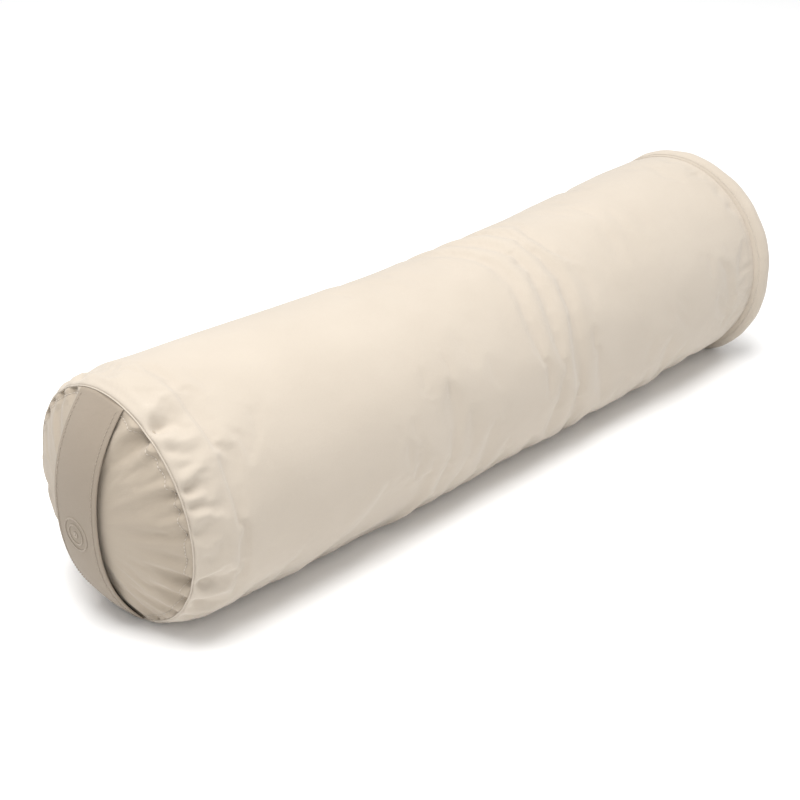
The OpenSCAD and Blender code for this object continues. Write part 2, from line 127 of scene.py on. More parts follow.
class Crease:
    """A fold that starts at an end seam and dies away from it. Angle and width are in degrees."""

    def __init__(self, angle, width, depth, length, panel_share=0.55):
        self.angle = angle
        self.width = width
        self.depth = depth
        self.length = length
        self.panel_share = panel_share

    def valley(self, angle, spread):
        """1 in the fold's floor, slightly negative on the rolls of cloth beside it."""
        d = turn_between(angle, self.angle) / (self.width * spread)
        return np.exp(-d * d) - ROLL_HEIGHT * np.exp(-((np.abs(d) - ROLL_PLACE) ** 2) * ROLL_SHARPNESS)

    def on_body(self, s, angle):
        fade = np.exp(-((s / self.length) ** 1.4)) * smooth(s / (ONSET * self.length))
        return self.depth * fade * self.valley(angle, 1 + 0.8 * s / self.length)

    def on_panel(self, s, angle):
        length = self.length * self.panel_share
        fade = np.exp(-((s / length) ** 1.3)) * smooth(s / (2 * MM)) * smooth((SEAM_R - s) / FOLD_END)
        return PANEL_DEPTH * self.depth * fade * self.valley(angle, 1 + 0.7 * s / length)


def small_creases(count, low, high, strength=1.0):
    """Fine gathers spread between two angles, in a fixed random order."""
    found = []
    for i in range(count):
        angle = low + (high - low) * (i + 0.5 + RNG.uniform(-0.3, 0.3)) / count
        found.append(Crease(angle, RNG.uniform(1.4, 3.0), strength * RNG.uniform(0.7, 2.2) * MM,
                            RNG.uniform(14, 32) * MM))
    return found


def panel_folds(count, low, high):
    """Long soft folds that run from the seam well into the handle end's panel."""
    found = []
    for i in range(count):
        angle = low + (high - low) * (i + 0.5 + RNG.uniform(-0.25, 0.25)) / count
        found.append(Crease(angle, RNG.uniform(2.2, 3.4), RNG.uniform(1.0, 1.9) * MM,
                            RNG.uniform(20, 30) * MM, RNG.uniform(1.3, 2.0)))
    return found


def handle_end_creases():
    """Each fold's angle, width, depth and length, and what share of its length the panel gets."""
    dimple = [Crease(122, 3.6, 7.0 * MM, 44 * MM, 0.5), Crease(133, 2.6, 3.2 * MM, 34 * MM, 0.8)]
    sharp_pair = [Crease(151, 2.0, 4.2 * MM, 26 * MM), Crease(159, 1.8, 3.2 * MM, 24 * MM)]
    side_folds = [Crease(196, 2.4, 3.6 * MM, 34 * MM), Crease(211, 2.6, 3.0 * MM, 34 * MM)]
    back_pleats = [Crease(a, 3.2, 3.0 * MM, 32 * MM) for a in (33, 44, 55, 66)]
    return (dimple + sharp_pair + side_folds + back_pleats + small_creases(24, 165, 390)
            + panel_folds(9, 118, 246) + panel_folds(6, -60, 62))


def far_end_creases():
    """Faint gathers all the way round."""
    return small_creases(22, 0, 360, 0.3)


HANDLE_END_CREASES = handle_end_creases()
FAR_END_CREASES = far_end_creases()


# ---- surfaces ------------------------------------------------------------------------------------

class Wrinkles:
    """How far simulated cloth stands in or out, on a grid of (place, angle). Zero until filled in."""

    def __init__(self, low, high):
        self.low = low
        self.high = high
        self.grid = None

    def at(self, place, angle):
        """Value between the grid's points; the angle wraps round."""
        if self.grid is None:
            return 0.0
        rows, columns = self.grid.shape
        u = np.clip((place - self.low) / (self.high - self.low), 0, 1) * (rows - 1)
        v = (angle / 360 * columns) % columns
        i = np.minimum(u.astype(int), rows - 2) if np.ndim(u) else min(int(u), rows - 2)
        j = np.floor(v).astype(int) % columns
        k = (j + 1) % columns
        du, dv = u - i, v - np.floor(v)
        first = self.grid[i, j] * (1 - dv) + self.grid[i, k] * dv
        second = self.grid[i + 1, j] * (1 - dv) + self.grid[i + 1, k] * dv
        return first * (1 - du) + second * du


TUBE_WRINKLES = Wrinkles(-SEAM_X, SEAM_X)
PANEL_WRINKLES = Wrinkles(0.0, SEAM_R)


def shoulder_radius(s, seam_r):
    """Radius of the tube at a distance s from its end seam."""
    c = np.clip(1 - s / SHOULDER, 0, 1)
    return seam_r + (BODY_R - seam_r) * np.sqrt(1 - c * c)


def hump(x, place, width):
    """1 at a place along the bolster, down to about a third one width away."""
    return np.exp(-(((x - place) / width) ** 2))


def middle_dip(x):
    """How far the fill has slumped away from the middle."""
    return 2.2 * MM * hump(x, 0.055, 0.13)


def waist(x):
    """How far the cover stands out near the ends and in at the middle."""
    return 1.2 * MM * (hump(x, 0.25, 0.06) + hump(x, -0.26, 0.06)) - middle_dip(x)


def cloth_waves(x, angle):
    """Shallow uneven waves in loosely filled cloth."""
    a = np.radians(angle)
    slow = np.sin(19 * x + 2.0 * np.sin(a) + 0.7) * np.cos(2 * a - 8 * x)
    bands = np.sin(210 * x + 2.2 * np.sin(2.3 * a + 11 * x) + 1.6 * np.cos(a))
    patches = smooth(0.5 + 0.9 * np.sin(23 * x + 2.6 * a) * np.cos(3.1 * a - 17 * x))
    ripples = bands * patches * smooth(1 - np.abs(x - 0.06) / 0.22)
    return 0.5 * MM * slow + 0.38 * MM * ripples


def near_zip(angle):
    """1 on the zip's line, 0 well away from it: the cloth there follows the CAD."""
    return 1 - smooth((np.abs(turn_between(angle, ZIP_ANGLE)) - 14) / 40)


def tube_radius(x, angle):
    s = SEAM_X - np.abs(x)
    r = shoulder_radius(s, np.where(x < 0, SEAM_R, FAR_SEAM_R))
    free = (1 - near_zip(angle)) * smooth(s / SHOULDER)
    r = r + free * (waist(x) + cloth_waves(x, angle)) + TUBE_WRINKLES.at(x, angle)
    for crease in HANDLE_END_CREASES:
        r = r - np.where(x < 0, crease.on_body(s, angle), 0)
    for crease in FAR_END_CREASES:
        r = r - np.where(x > 0, crease.on_body(s, angle), 0)
    return r


def slump(x, angle):
    """How far the heavy middle has settled towards the floor, none along the zip."""
    return SLUMP * (1 - (x / SEAM_X) ** 2) * (1 - near_zip(angle))


def tube_point(x, angle):
    """Point on the cover's tube, settled towards the floor but not through it."""
    a = np.radians(angle)
    radius = tube_radius(x, angle)
    z = AXIS_Z + radius * np.sin(a) - slump(x, angle)
    return np.stack([x + 0 * a, radius * np.cos(a), np.maximum(z, FLOOR_GAP)], axis=-1)


def panel_rim(side):
    return SEAM_R if side < 0 else FAR_SEAM_R


def near_bulge(radius, angle, creases):
    """How far the handle end's panel stands past its seam."""
    s = SEAM_R - radius
    share = np.clip(radius / SEAM_R, 0, 1)
    out = CROWN * (1 - share ** CROWN_POWER) + FULLER_MIDDLE * (1 - share ** 2) ** 2
    for crease in creases:
        out = out - crease.on_panel(s, angle)
    return out - stitch_channel(s, angle) + PANEL_WRINKLES.at(radius, angle)


def stitch_channel(s, angle):
    """The topstitching draws the panel in along its row, unevenly."""
    a = np.radians(angle)
    uneven = 0.6 + 0.25 * np.sin(61 * a + 2 * np.sin(7 * a)) + 0.15 * np.sin(97 * a)
    return 0.9 * MM * uneven * np.exp(-((s - TOPSTITCH_IN) / (1.6 * MM)) ** 2)


def near_point(radius, angle, creases, lift=0.0):
    """Point on the handle end's panel."""
    return ring_point(-(SEAM_X + near_bulge(radius, angle, creases) + lift), radius, angle)


def far_wobble(share, angle):
    """Slow unevenness of the far panel's swollen edge, none at its seam or its middle."""
    a = np.radians(angle)
    waves = 0.8 * np.sin(5 * a + 1.3) + 0.5 * np.sin(11 * a + 4 * share) + 0.25 * np.sin(23 * a + 2)
    return 0.7 * MM * waves * np.sin(math.pi * np.clip(share, 0, 1))


def far_swell(angle):
    """How far the far panel swells past its rim: the fill has settled more to one side."""
    toward = (1 + np.cos(np.radians(angle - FAR_LEAN_ANGLE))) / 2
    return FAR_SWELL_LEAST + FAR_SWELL_LEAN * toward


def far_point(share, angle, lift=0.0):
    """Point on the far panel at a share of its height: 0 at its seam, 1 at its middle."""
    body = FAR_FOLD_R * np.maximum(0, 1 - share ** (1 / FAR_FULLNESS)) ** (1 / FAR_POWER)
    swell = far_swell(angle) * np.sin(math.pi * share ** FLARE_RISE)
    radius = body + swell + far_wobble(share, angle) + lift
    for crease in FAR_END_CREASES:
        radius = radius - crease.on_body(share * FAR_CROWN, angle) * smooth(1 - share * 2)
    return ring_point(SEAM_X - COVER_T + FAR_CROWN * share, radius, angle)


# ---- mesh helpers --------------------------------------------------------------------------------

def make_mesh(name, points, faces, smooth_shading=True):
    mesh = bpy.data.meshes.new(name)
    mesh.from_pydata([tuple(p) for p in points], [], faces)
    mesh.update()
    if smooth_shading:
        mesh.polygons.foreach_set("use_smooth", [True] * len(mesh.polygons))
    obj = bpy.data.objects.new(name, mesh)
    bpy.context.scene.collection.objects.link(obj)
    return obj


def grid_faces(rows, columns, closed, skip=lambda i, j: False):
    """Quads of a grid of points, wrapped across its columns if closed."""
    faces = []
    for i in range(rows - 1):
        for j in range(columns if closed else columns - 1):
            k = (j + 1) % columns
            if not skip(i, j):
                faces.append((i * columns + j, i * columns + k,
                              (i + 1) * columns + k, (i + 1) * columns + j))
    return faces


def fix_normals(obj):
    bm = bmesh.new()
    bm.from_mesh(obj.data)
    loose = [v for v in bm.verts if not v.link_faces]
    bmesh.ops.delete(bm, geom=loose, context="VERTS")
    bmesh.ops.recalc_face_normals(bm, faces=bm.faces)
    bm.to_mesh(obj.data)
    bm.free()


def thicken(obj, thickness, offset=-1.0):
    """Gives a sheet of cloth its thickness."""
    m = obj.modifiers.new("cloth_thickness", "SOLIDIFY")
    m.thickness = thickness
    m.offset = offset
    return obj


def swept_tube(name, centres, radius, closed=True, sides=8):
    """Round cord along a path; radius may be a number or one value per point."""
    n = len(centres)
    radii = np.broadcast_to(np.asarray(radius, float), (n,))
    following = np.roll(centres, -1, axis=0) if closed else np.gradient(centres, axis=0) + centres
    tangents = following - centres
    tangents /= np.linalg.norm(tangents, axis=1)[:, None]
    points = []
    for c, t, r in zip(centres, tangents, radii):
        u = np.cross(t, (1.0, 0.0, 0.0))
        if np.linalg.norm(u) < 1e-6:
            u = np.cross(t, (0.0, 1.0, 0.0))
        u /= np.linalg.norm(u)
        w = np.cross(t, u)
        for k in range(sides):
            a = 2 * math.pi * k / sides
            points.append(c + r * (math.cos(a) * u + math.sin(a) * w))
    faces = []
    for i in range(n if closed else n - 1):
        j = (i + 1) % n
        for k in range(sides):
            m = (k + 1) % sides
            faces.append((i * sides + k, i * sides + m, j * sides + m, j * sides + k))
    if not closed:
        faces.append(tuple(reversed(range(sides))))
        faces.append(tuple((n - 1) * sides + k for k in range(sides)))
    return make_mesh(name, points, faces)


def facing_handle_end(count):
    """Normals of stitches that lie on the handle end."""
    return np.tile((-1.0, 0.0, 0.0), (count, 1))


def stitch_mesh(name, starts, ends, normals):
    """Separate short threads, each sunk at both ends and proud in its middle."""
    points, faces = [], []
    sides, rings = 6, 5
    for a, b, n in zip(starts, ends, normals):
        along = b - a
        length = np.linalg.norm(along)
        along = along / length
        n = n / np.linalg.norm(n)
        across = np.cross(along, n)
        base = len(points)
        for i in range(rings):
            t = i / (rings - 1)
            swell = math.sin(math.pi * (0.12 + 0.76 * t))
            centre = a + along * length * t + n * (THREAD_R * (swell - 0.35))
            for k in range(sides):
                q = 2 * math.pi * k / sides
                points.append(centre + THREAD_R * swell * (math.cos(q) * across + math.sin(q) * n))
        for i in range(rings - 1):
            for k in range(sides):
                m = (k + 1) % sides
                faces.append((base + i * sides + k, base + i * sides + m,
                              base + (i + 1) * sides + m, base + (i + 1) * sides + k))
        faces.append(tuple(base + k for k in reversed(range(sides))))
        faces.append(tuple(base + (rings - 1) * sides + k for k in range(sides)))
    return make_mesh(name, points, faces)


# ---- cloth simulation ----------------------------------------------------------------------------

SIM_COLUMNS = 150
TUBE_SIM_ROWS = 150
PANEL_SIM_ROWS = 24
SIM_FRAMES = 20
PRESSURE = 4.0
SLACK = 0.035                       # cloth cut this much larger than the shape it covers
BLUR_STEPS = 40                     # separates wrinkles from the swelling of the whole cover
TUBE_WRINKLE_LIMIT = 2.6 * MM
PANEL_WRINKLE_LIMIT = 2.0 * MM


def run_cloth(points, faces, held):
    """Inflates a sheet of slack cloth that is held at some points; returns where it ends up."""
    obj = make_mesh("cloth_sim", points, faces)
    fix_normals(obj)
    group = obj.vertex_groups.new(name="held")
    group.add([int(i) for i in np.nonzero(held)[0]], 1.0, "REPLACE")
    cloth = obj.modifiers.new("cloth", "CLOTH")
    cloth.settings.quality = 6
    cloth.settings.mass = 0.3
    cloth.settings.tension_stiffness = 20
    cloth.settings.compression_stiffness = 20
    cloth.settings.shear_stiffness = 6
    cloth.settings.bending_stiffness = 0.5
    cloth.settings.use_pressure = True
    cloth.settings.uniform_pressure_force = PRESSURE
    cloth.settings.shrink_min = -SLACK
    cloth.settings.vertex_group_mass = "held"
    cloth.settings.effector_weights.gravity = 0
    cloth.collision_settings.use_collision = False
    cloth.point_cache.frame_end = SIM_FRAMES
    for frame_number in range(1, SIM_FRAMES + 1):
        bpy.context.scene.frame_set(frame_number)
    settled = obj.evaluated_get(bpy.context.evaluated_depsgraph_get()).to_mesh()
    found = np.array([tuple(v.co) for v in settled.vertices])
    bpy.data.objects.remove(obj)
    bpy.context.scene.frame_set(1)
    return found


def blurred(grid):
    """Grid smoothed in both directions; columns wrap round, rows don't."""
    for _ in range(BLUR_STEPS):
        grid = (np.roll(grid, 1, 1) + 2 * grid + np.roll(grid, -1, 1)) / 4
        padded = np.concatenate([grid[:1], grid, grid[-1:]])
        grid = (padded[:-2] + 2 * grid + padded[2:]) / 4
    return grid


def keep_wrinkles(moved, free, limit):
    """Leaves out the overall swelling, and caps how far any point may move."""
    fine = moved - blurred(moved)
    return limit * np.tanh(fine / limit) * free


def simulate_tube():
    """Fills in the tube's wrinkles."""
    xs = np.linspace(-SEAM_X, SEAM_X, TUBE_SIM_ROWS)
    angles = 360 / SIM_COLUMNS * np.arange(SIM_COLUMNS)
    x, a = np.meshgrid(xs, angles, indexing="ij")
    before = tube_point(x, a)
    edge = SEAM_X - np.abs(x)
    by_zip = (np.abs(turn_between(a, ZIP_ANGLE)) < 7) & (np.abs(x) < ZIP_HALF_LENGTH + 0.012)
    held = ((edge < 6 * MM) | by_zip | (before[..., 2] < 2 * MM)).reshape(-1)
    after = run_cloth(before.reshape(-1, 3), grid_faces(TUBE_SIM_ROWS, SIM_COLUMNS, True), held)
    step = after.reshape(before.shape) - before
    moved = step[..., 1] * np.cos(np.radians(a)) + step[..., 2] * np.sin(np.radians(a))
    free = smooth(edge / (12 * MM)) * (1 - near_zip(a)) * smooth(before[..., 2] / (14 * MM))
    TUBE_WRINKLES.grid = keep_wrinkles(moved, free, TUBE_WRINKLE_LIMIT)


def simulate_panel():
    """Fills in the wrinkles of the handle end's panel."""
    radii = np.linspace(0.02, 1, PANEL_SIM_ROWS) * SEAM_R
    angles = 360 / SIM_COLUMNS * np.arange(SIM_COLUMNS)
    radius, a = np.meshgrid(radii, angles, indexing="ij")
    before = near_point(radius, a, HANDLE_END_CREASES)
    faces = grid_faces(PANEL_SIM_ROWS, SIM_COLUMNS, True) + [tuple(range(SIM_COLUMNS))]
    held = (radius > SEAM_R - 5 * MM).reshape(-1)
    after = run_cloth(before.reshape(-1, 3), faces, held)
    moved = -(after.reshape(before.shape) - before)[..., 0]
    free = smooth((SEAM_R - radius) / (14 * MM)) * smooth(radius / FOLD_END) ** 2
    PANEL_WRINKLES.low = radii[0]
    PANEL_WRINKLES.grid = keep_wrinkles(moved, free, PANEL_WRINKLE_LIMIT)


# ---- materials -----------------------------------------------------------------------------------

def new_material(name):
    mat = bpy.data.materials.new(name)
    mat.use_nodes = True
    tree = mat.node_tree
    return mat, tree, tree.nodes["Principled BSDF"]


def mix_colour(tree, factor, low, high):
    ramp = tree.nodes.new("ShaderNodeValToRGB")
    ramp.color_ramp.elements[0].color = (*low, 1)
    ramp.color_ramp.elements[1].color = (*high, 1)
    tree.links.new(factor, ramp.inputs[0])
    return ramp.outputs[0]


def noise(tree, coords, scale, detail=3.0):
    node = tree.nodes.new("ShaderNodeTexNoise")
    node.inputs["Scale"].default_value = scale
    node.inputs["Detail"].default_value = detail
    tree.links.new(coords, node.inputs["Vector"])
    return node.outputs["Fac"]


def diagonal_weave(tree, coords, pitch):
    """Twill: fine ridges that run diagonally, broken up by the crossing yarns."""
    bands = []
    for turn in ((0.6, 0.3, 0.4), (-0.5, 0.9, -0.3)):
        mapping = tree.nodes.new("ShaderNodeMapping")
        mapping.inputs["Rotation"].default_value = turn
        tree.links.new(coords, mapping.inputs["Vector"])
        wave = tree.nodes.new("ShaderNodeTexWave")
        wave.inputs["Scale"].default_value = 0.314 / pitch
        wave.inputs["Distortion"].default_value = 0.8
        tree.links.new(mapping.outputs["Vector"], wave.inputs["Vector"])
        bands.append(wave.outputs["Fac"])
    add = tree.nodes.new("ShaderNodeMath")
    add.operation = "MULTIPLY"
    tree.links.new(bands[0], add.inputs[0])
    tree.links.new(bands[1], add.inputs[1])
    return add.outputs[0]


def add_bump(tree, shader, height, distance, strength=0.6):
    bump = tree.nodes.new("ShaderNodeBump")
    bump.inputs["Distance"].default_value = distance
    bump.inputs["Strength"].default_value = strength
    tree.links.new(height, bump.inputs["Height"])
    tree.links.new(bump.outputs["Normal"], shader.inputs["Normal"])


CRUMPLE_SHARE = 9.0                 # how much deeper the soft crumples are than the weave


def cloth_material(name, dark, light, pitch=0.55 * MM, sheen=0.25, roughness=0.92):
    mat, tree, shader = new_material(name)
    coords = tree.nodes.new("ShaderNodeTexCoord").outputs["Object"]
    weave = diagonal_weave(tree, coords, pitch)
    blotches = noise(tree, coords, 14)
    slubs = noise(tree, coords, 900, 2)
    mixed = tree.nodes.new("ShaderNodeMath")
    mixed.operation = "MULTIPLY_ADD"
    mixed.inputs[1].default_value = 0.45
    tree.links.new(slubs, mixed.inputs[0])
    tree.links.new(blotches, mixed.inputs[2])
    tree.links.new(mix_colour(tree, mixed.outputs[0], dark, light), shader.inputs["Base Color"])
    shader.inputs["Roughness"].default_value = roughness
    shader.inputs["Sheen Weight"].default_value = sheen
    shader.inputs["Sheen Roughness"].default_value = 0.5
    crumple = noise(tree, coords, 42, 6)
    layered = tree.nodes.new("ShaderNodeMath")
    layered.operation = "MULTIPLY_ADD"
    layered.inputs[1].default_value = CRUMPLE_SHARE
    tree.links.new(crumple, layered.inputs[0])
    tree.links.new(weave, layered.inputs[2])
    add_bump(tree, shader, layered.outputs[0], 0.14 * MM)
    return mat


def metal_material(name, colour):
    mat, tree, shader = new_material(name)
    coords = tree.nodes.new("ShaderNodeTexCoord").outputs["Object"]
    scratches = noise(tree, coords, 700, 4)
    low = tuple(c * 0.82 for c in colour)
    tree.links.new(mix_colour(tree, scratches, low, colour), shader.inputs["Base Color"])
    shader.inputs["Metallic"].default_value = 1
    shader.inputs["Roughness"].default_value = 0.34
    add_bump(tree, shader, scratches, 0.02 * MM, 0.3)
    return mat


def plastic_material(name, dark, light):
    mat, tree, shader = new_material(name)
    coords = tree.nodes.new("ShaderNodeTexCoord").outputs["Object"]
    grain = noise(tree, coords, 1200, 2)
    tree.links.new(mix_colour(tree, grain, dark, light), shader.inputs["Base Color"])
    shader.inputs["Roughness"].default_value = 0.45
    add_bump(tree, shader, grain, 0.02 * MM, 0.3)
    return mat


def husk_material(name):
    mat, tree, shader = new_material(name)
    coords = tree.nodes.new("ShaderNodeTexCoord").outputs["Object"]
    cells = tree.nodes.new("ShaderNodeTexVoronoi")
    cells.inputs["Scale"].default_value = 260
    tree.links.new(coords, cells.inputs["Vector"])
    tree.links.new(mix_colour(tree, cells.outputs["Distance"], (0.60, 0.44, 0.24), (0.30, 0.20, 0.10)),
                   shader.inputs["Base Color"])
    shader.inputs["Roughness"].default_value = 0.8
    add_bump(tree, shader, cells.outputs["Distance"], 1.2 * MM)
    return mat


CANVAS = cloth_material("cotton_twill", (0.424, 0.367, 0.299), (0.484, 0.424, 0.352))
# The handle end's panel is the body's twill made darker: painted shade for the shade that end stands in.
PANEL_CLOTH_PAINTED_SHADE = cloth_material("panel_twill_painted_shade", (0.338, 0.282, 0.218), (0.386, 0.326, 0.257), 0.55 * MM, 0.15)
# The strap is the twill made darker still: painted shade for the shade on the handle end.
STRAP_CLOTH_PAINTED_SHADE = cloth_material("strap_twill_painted_shade", (0.250, 0.205, 0.157), (0.283, 0.234, 0.182), 0.6 * MM, 0.1)
# Strap thread: a shaded copy of the thread, a little lighter than the strap and darkened with it as painted
# shade.
STRAP_THREAD_PAINTED_SHADE = cloth_material("strap_thread_painted_shade", (0.30, 0.25, 0.195), (0.36, 0.30, 0.235), 0.18 * MM, 0.2, 0.7)
CALICO = cloth_material("calico", (0.68, 0.62, 0.53), (0.80, 0.74, 0.65), 0.4 * MM, 0.15)
TAPE = cloth_material("zip_tape", (0.60, 0.53, 0.44), (0.70, 0.63, 0.54), 0.35 * MM, 0.1)
THREAD = cloth_material("thread", (0.464, 0.409, 0.34), (0.557, 0.502, 0.432), 0.18 * MM, 0.3, 0.7)
TEETH = plastic_material("zip_teeth", (0.66, 0.59, 0.49), (0.76, 0.69, 0.59))
METAL = metal_material("zip_metal", (0.62, 0.61, 0.59))
HUSKS = husk_material("husks")


def finish_piece(obj, material, slot, body, *replaced):
    """Gives a new piece its material and the body it rides on, and hides the CAD pieces it replaces; slot
    is not used.
    """
    obj.data.materials.clear()
    obj.data.materials.append(material)
    if body:
        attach(obj, body)
    if replaced:
        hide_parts(*replaced)
    return obj


# ---- cover ---------------------------------------------------------------------------------------

TUBE_COLUMNS = 400
TUBE_ROWS = 300


def tube_rows():
    """Distances along the bolster, closer together near the end seams."""
    t = np.linspace(-1, 1, TUBE_ROWS)
    return SEAM_X * (0.72 * t + 0.28 * np.sin(t * math.pi / 2))


def build_cover_tube():
    step = 360 / TUBE_COLUMNS
    xs = tube_rows()
    angles = ZIP_ANGLE + step * np.arange(TUBE_COLUMNS)
    grid_x, grid_a = np.meshgrid(xs, angles, indexing="ij")
    points = tube_point(grid_x, grid_a).reshape(-1, 3)
    slot_columns = 2 * SLOT_STEPS

    def in_slot(i, j):
        beside = j < slot_columns or j >= TUBE_COLUMNS - slot_columns
        return beside and abs((xs[i] + xs[i + 1]) / 2) < ZIP_HALF_LENGTH

    obj = make_mesh("cover_tube", points, grid_faces(TUBE_ROWS, TUBE_COLUMNS, True, in_slot))
    fix_normals(obj)
    thicken(obj, COVER_T)
    return finish_piece(obj, CANVAS, "canvas", "cover", "cover_body")


PANEL_COLUMNS = 360
PANEL_RINGS = 110


def panel_from_rings(name, rings, node, cloth):
    """Closed panel from rings of points that run from its middle to its seam."""
    faces = grid_faces(len(rings), PANEL_COLUMNS, True) + [tuple(range(PANEL_COLUMNS))]
    obj = make_mesh(name, rings.reshape(-1, 3), faces)
    fix_normals(obj)
    thicken(obj, COVER_T)
    return finish_piece(obj, cloth, "canvas", "cover", node)


def panel_angles():
    return 360 / PANEL_COLUMNS * np.arange(PANEL_COLUMNS)


def build_near_panel():
    radii = SEAM_R * np.sin(np.linspace(0.004, 1, PANEL_RINGS) * math.pi / 2) ** 0.7
    radius, angle = np.meshgrid(radii, panel_angles(), indexing="ij")
    rings = near_point(radius, angle, HANDLE_END_CREASES)
    # The panel's darker twill is painted shade, not a different cloth.
    return panel_from_rings("handle_end_panel", rings, "cover_handle_end", PANEL_CLOTH_PAINTED_SHADE)


def build_far_panel():
    """Rings from the panel's middle to its seam, closer together at both ends of that way."""
    half = 0.5
    crowding = 1.3
    upper = 1 - np.linspace(0.0, 1, PANEL_RINGS) ** 2 * half
    start_at_half = half ** -0.3
    lower = np.linspace(half, 0, PANEL_RINGS)[1:] ** crowding * start_at_half
    share, angle = np.meshgrid(np.concatenate([upper, lower])[1:], panel_angles(), indexing="ij")
    return panel_from_rings("far_end_panel", far_point(share, angle), "cover_far_end", CANVAS)


def build_seam_ridge(name, side, creases):
    """The folded edge of cloth that stands up along an end seam."""
    angles = np.linspace(0, 360, 720, endpoint=False)
    pull = sum(c.depth * np.exp(-((turn_between(angles, c.angle) / c.width) ** 2)) for c in creases)
    radius = panel_rim(side) + 0.2 * MM - 0.07 * pull
    centres = ring_point(side * (SEAM_X + 0.1 * MM), radius, angles)
    centres[:, 2] = np.maximum(centres[:, 2], 1.5 * MM)
    obj = swept_tube(name, centres, 0.65 * MM, True, 10)
    return finish_piece(obj, CANVAS, "canvas", "cover")


def stitch_angles(radius):
    """Middle of each stitch round a ring, and half of what a stitch turns through."""
    count = int(2 * math.pi * radius / STITCH_PITCH)
    return 360 / count * np.arange(count), math.degrees(STITCH_LENGTH / 2 / radius)


def build_near_stitches():
    radius = SEAM_R - TOPSTITCH_IN
    angles, half = stitch_angles(radius)
    starts = near_point(radius + 0 * angles, angles - half, HANDLE_END_CREASES, 0.1 * MM)
    ends = near_point(radius + 0 * angles, angles + half, HANDLE_END_CREASES, 0.1 * MM)
    obj = stitch_mesh("handle_end_stitches", starts, ends, facing_handle_end(len(angles)))
    return finish_piece(obj, THREAD, "thread", "cover", "handle_end_topstitch")


def build_far_stitches():
    share = FAR_STITCH_RISE / FAR_CROWN
    angles, half = stitch_angles(FAR_SEAM_R)
    starts = far_point(share + 0 * angles, angles - half, 0.1 * MM)
    ends = far_point(share + 0 * angles, angles + half, 0.1 * MM)
    obj = stitch_mesh("far_end_stitches", starts, ends, ring_point(0, 1, angles) - (0, 0, AXIS_Z))
    return finish_piece(obj, THREAD, "thread", "cover", "far_end_topstitch")


OVERLOCK_PITCH = 1.3 * MM
OVERLOCK_DEPTH = 3.7 * MM           # below the panel's outside, under its two turned-in layers
OVERLOCK_OUT = 6.8 * MM             # from the seam to the near side of the zigzag
OVERLOCK_IN = 10.4 * MM


def build_overlock(name, side, creases, node):
    """Zigzag of thread over the raw edges of the seam allowance, inside the cover."""
    rim = panel_rim(side)
    count = 2 * int(math.pi * rim / OVERLOCK_PITCH)
    angles = 360 / count * np.arange(count)
    radius = np.where(np.arange(count) % 2 == 0, rim - OVERLOCK_OUT, rim - OVERLOCK_IN)
    if side < 0:
        centres = near_point(radius, angles, creases, -OVERLOCK_DEPTH)
    else:
        centres = ring_point(side * (SEAM_X - OVERLOCK_DEPTH), radius, angles)
    obj = swept_tube(name, centres, 0.25 * MM, True, 6)
    return finish_piece(obj, THREAD, "thread", "cover", node)


# ---- strap ---------------------------------------------------------------------------------------


def strap_outward(y, z):
    """How far the strap's inner face stands past the seam, at a height z from the axis."""
    r = np.minimum(np.hypot(y, z) / SEAM_R, 1)
    sag = 0.5 * MM * np.sin(31 * z + 1.1) * (y / STRAP_HALF_W)
    return STRAP_CROWN * (1 - r ** CROWN_POWER) + 0.3 * MM + sag * (1 - r)


def strap_end_height(y):
    return np.sqrt((SEAM_R - 0.3 * MM) ** 2 - y ** 2)


def strap_section(y):
    """Thickness across the strap: full in the middle, rounded at its two folded edges."""
    edge = np.clip((STRAP_HALF_W - np.abs(y)) / (1.2 * MM), 0, 1)
    return STRAP_T * (0.25 + 0.75 * np.sqrt(1 - (1 - edge) ** 2))


def build_strap_half(name, sign):
    """Half of the strap, from its middle to the end that is sewn into the seam."""
    rows, half_columns = 70, 22
    across = np.sin(np.linspace(-1, 1, 2 * half_columns + 1) * math.pi / 2) * STRAP_HALF_W
    outer, inner = [], []
    for t in np.linspace(0, 1, rows):
        z = sign * t * strap_end_height(across)
        x = -SEAM_X - strap_outward(across, z)
        depth = strap_section(across)
        middle = x - STRAP_T / 2
        height = np.maximum(AXIS_Z + z, FLOOR_GAP)
        outer.append(np.stack([middle - depth / 2, across, height], 1))
        inner.append(np.stack([middle + depth / 2, across, height], 1))
    columns = len(across)
    loop = np.concatenate([np.array(outer), np.array(inner)[:, ::-1]], axis=1)
    faces = grid_faces(rows, 2 * columns, True)
    faces.append(tuple(range(2 * columns)))
    faces.append(tuple((rows - 1) * 2 * columns + k for k in range(2 * columns)))
    obj = make_mesh(name, loop.reshape(-1, 3), faces)
    fix_normals(obj)
    obj.data.set_sharp_from_angle(angle=math.radians(60))
    # The strap's dark twill is painted shade.
    finish_piece(obj, STRAP_CLOTH_PAINTED_SHADE, "canvas", None)
    return blend_strap(obj)


def blend_strap(obj):
    """Bakes the piece's placement into its points; it is tied to neither the cover nor the handle."""
    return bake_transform(obj)


def on_strap(y, z):
    """Point on the strap's outer face, at a height z from the axis."""
    return np.array((-SEAM_X - strap_outward(y, z) - STRAP_T - 0.1 * MM, y, AXIS_Z + z))


